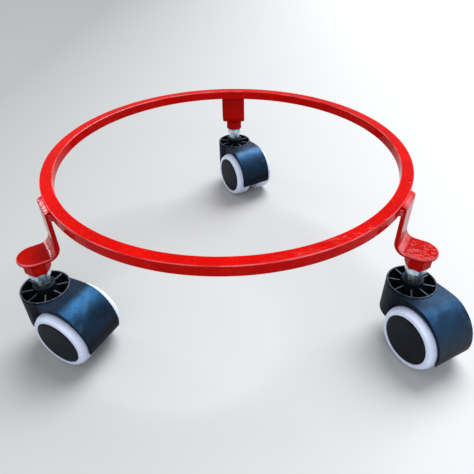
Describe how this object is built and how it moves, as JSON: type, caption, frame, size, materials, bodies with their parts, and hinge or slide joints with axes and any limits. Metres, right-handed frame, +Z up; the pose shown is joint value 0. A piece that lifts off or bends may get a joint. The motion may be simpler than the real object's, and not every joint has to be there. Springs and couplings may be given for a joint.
{
  "type": "drum dolly",
  "caption": "Low round dolly: an open flat-bar ring on bracket legs, carried by swivelling twin-wheel castors, on which a small drum or cylinder stands and rolls.",
  "frame": {"origin": "on the floor under the middle of the bounding box, wheels standing on z = 0", "axes": "+Z up; +Y towards the rear castor, away from the side the two front castors are on; +X to the right seen from the front"},
  "size_m": [0.3458, 0.3372, 0.1257],
  "materials": {
    "red_paint": "gloss red enamel over steel, soft brush and dip marks at the bends and welds",
    "zinc_plate": "bright zinc plate with a faint blue tint, light handling marks",
    "spring_steel": "dark oiled spring steel",
    "bush_bronze": "oil-soaked sintered bronze, dull",
    "black_nylon": "moulded black nylon, satin, faint flow marks and scuffs",
    "core_nylon": "moulded dark nylon, plain",
    "tyre_white": "pale grey-white soft polyurethane tread, satin, slightly dirty on the tread"
  },
  "bodies": {
    "frame": {"carrier_ring": "red_paint", "rear_bracket": "red_paint", "rear_bracket_weld_1": "red_paint", "rear_bracket_weld_2": "red_paint", "rear_bracket_top_weld": "red_paint", "rear_nut": "red_paint", "rear_nut_weld": "red_paint", "rear_stem": "zinc_plate", "rear_stem_clip": "spring_steel", "left_bracket": "red_paint", "left_bracket_weld_1": "red_paint", "left_bracket_weld_2": "red_paint", "left_bracket_top_weld": "red_paint", "left_nut": "red_paint", "left_nut_weld": "red_paint", "left_stem": "zinc_plate", "left_stem_clip": "spring_steel", "right_bracket": "red_paint", "right_bracket_weld_1": "red_paint", "right_bracket_weld_2": "red_paint", "right_bracket_top_weld": "red_paint", "right_nut": "red_paint", "right_nut_weld": "red_paint", "right_stem": "zinc_plate", "right_stem_clip": "spring_steel"},
    "rear_castor": {"rear_hood": "black_nylon", "rear_stem_bush": "bush_bronze", "rear_axle": "zinc_plate"},
    "rear_wheel_1": {"rear_wheel_core_1": "core_nylon", "rear_tyre_1": "tyre_white", "rear_hub_cap_1": "black_nylon"},
    "rear_wheel_2": {"rear_wheel_core_2": "core_nylon", "rear_tyre_2": "tyre_white", "rear_hub_cap_2": "black_nylon"},
    "left_castor": {"left_hood": "black_nylon", "left_stem_bush": "bush_bronze", "left_axle": "zinc_plate"},
    "left_wheel_1": {"left_wheel_core_1": "core_nylon", "left_tyre_1": "tyre_white", "left_hub_cap_1": "black_nylon"},
    "left_wheel_2": {"left_wheel_core_2": "core_nylon", "left_tyre_2": "tyre_white", "left_hub_cap_2": "black_nylon"},
    "right_castor": {"right_hood": "black_nylon", "right_stem_bush": "bush_bronze", "right_axle": "zinc_plate"},
    "right_wheel_1": {"right_wheel_core_1": "core_nylon", "right_tyre_1": "tyre_white", "right_hub_cap_1": "black_nylon"},
    "right_wheel_2": {"right_wheel_core_2": "core_nylon", "right_tyre_2": "tyre_white", "right_hub_cap_2": "black_nylon"}
  },
  "joints": [
    {"name": "rear_swivel", "type": "hinge", "parent": "frame", "child": "rear_castor", "pos_m": [-0.00448, 0.14962, 0.0553], "axis": [0, 0, 1], "continuous": true},
    {"name": "rear_wheel_1_spin", "type": "hinge", "parent": "rear_castor", "child": "rear_wheel_1", "pos_m": [0.00794, 0.12792, 0.025], "axis": [0.8678, 0.497, 0], "continuous": true},
    {"name": "rear_wheel_2_spin", "type": "hinge", "parent": "rear_castor", "child": "rear_wheel_2", "pos_m": [0.00794, 0.12792, 0.025], "axis": [0.8678, 0.497, 0], "continuous": true},
    {"name": "left_swivel", "type": "hinge", "parent": "frame", "child": "left_castor", "pos_m": [-0.154, -0.10676, 0.0553], "axis": [0, 0, 1], "continuous": true},
    {"name": "left_wheel_1_spin", "type": "hinge", "parent": "left_castor", "child": "left_wheel_1", "pos_m": [-0.13178, -0.11822, 0.025], "axis": [0.4587, 0.8886, 0], "continuous": true},
    {"name": "left_wheel_2_spin", "type": "hinge", "parent": "left_castor", "child": "left_wheel_2", "pos_m": [-0.13178, -0.11822, 0.025], "axis": [0.4587, 0.8886, 0], "continuous": true},
    {"name": "right_swivel", "type": "hinge", "parent": "frame", "child": "right_castor", "pos_m": [0.13129, -0.109, 0.0553], "axis": [0, 0, 1], "continuous": true},
    {"name": "right_wheel_1_spin", "type": "hinge", "parent": "right_castor", "child": "right_wheel_1", "pos_m": [0.14256, -0.13131, 0.025], "axis": [0.8926, 0.4509, 0], "continuous": true},
    {"name": "right_wheel_2_spin", "type": "hinge", "parent": "right_castor", "child": "right_wheel_2", "pos_m": [0.14256, -0.13131, 0.025], "axis": [0.8926, 0.4509, 0], "continuous": true}
  ]
}
